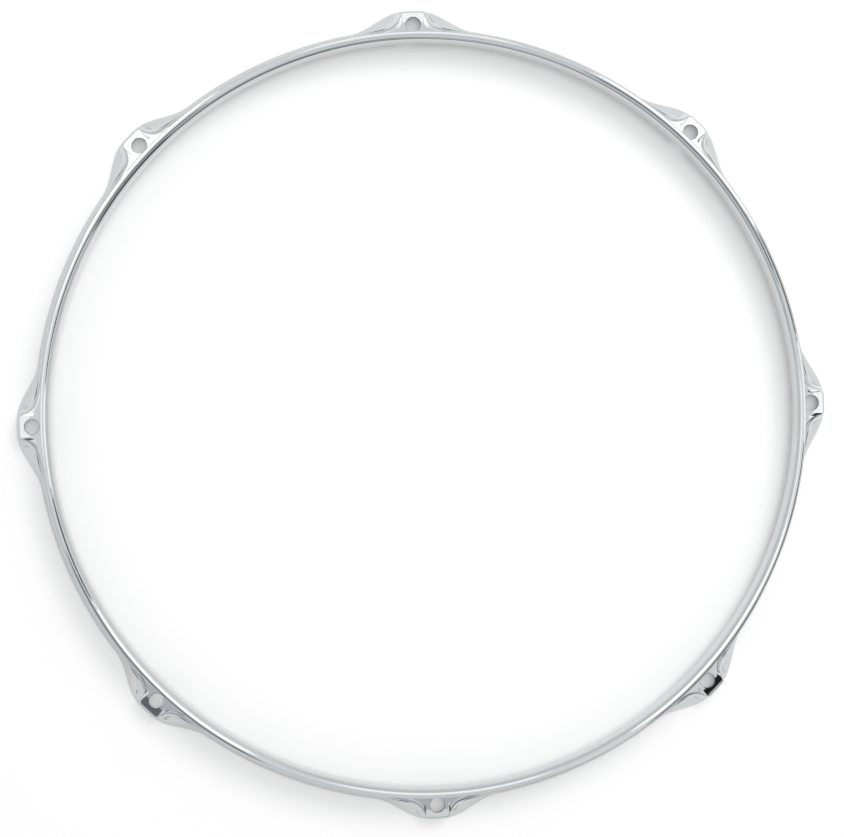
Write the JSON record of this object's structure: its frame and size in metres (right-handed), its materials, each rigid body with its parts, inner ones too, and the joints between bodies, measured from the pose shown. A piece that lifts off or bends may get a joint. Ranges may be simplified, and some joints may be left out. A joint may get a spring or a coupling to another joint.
{
  "type": "drum hoop",
  "caption": "Chrome-plated pressed steel counter hoop for a drum, with a turned-out lip, a flared foot and integral ears for tension rods.",
  "frame": {"origin": "on the hoop's axis, in the plane of its foot", "axes": "+Z along the hoop's axis, from the foot to the lip; +X through the rod hole of ear_1"},
  "size_m": [0.4024, 0.4024, 0.024],
  "materials": {
    "chrome_plate": "polished chrome plate on pressed steel",
    "weld_chrome": "chrome plate over a weld ground flush"
  },
  "bodies": {
    "root": {"top_lip": "chrome_plate", "collar": "chrome_plate", "ear_1": "chrome_plate", "ear_2": "chrome_plate", "ear_3": "chrome_plate", "ear_4": "chrome_plate", "ear_5": "chrome_plate", "ear_6": "chrome_plate", "ear_7": "chrome_plate", "ear_8": "chrome_plate", "skirt_1": "chrome_plate", "skirt_2": "chrome_plate", "skirt_3": "chrome_plate", "skirt_4": "chrome_plate", "skirt_5a": "chrome_plate", "skirt_5b": "chrome_plate", "skirt_6": "chrome_plate", "skirt_7": "chrome_plate", "skirt_8": "chrome_plate", "butt_weld": "weld_chrome"}
  },
  "joints": []
}
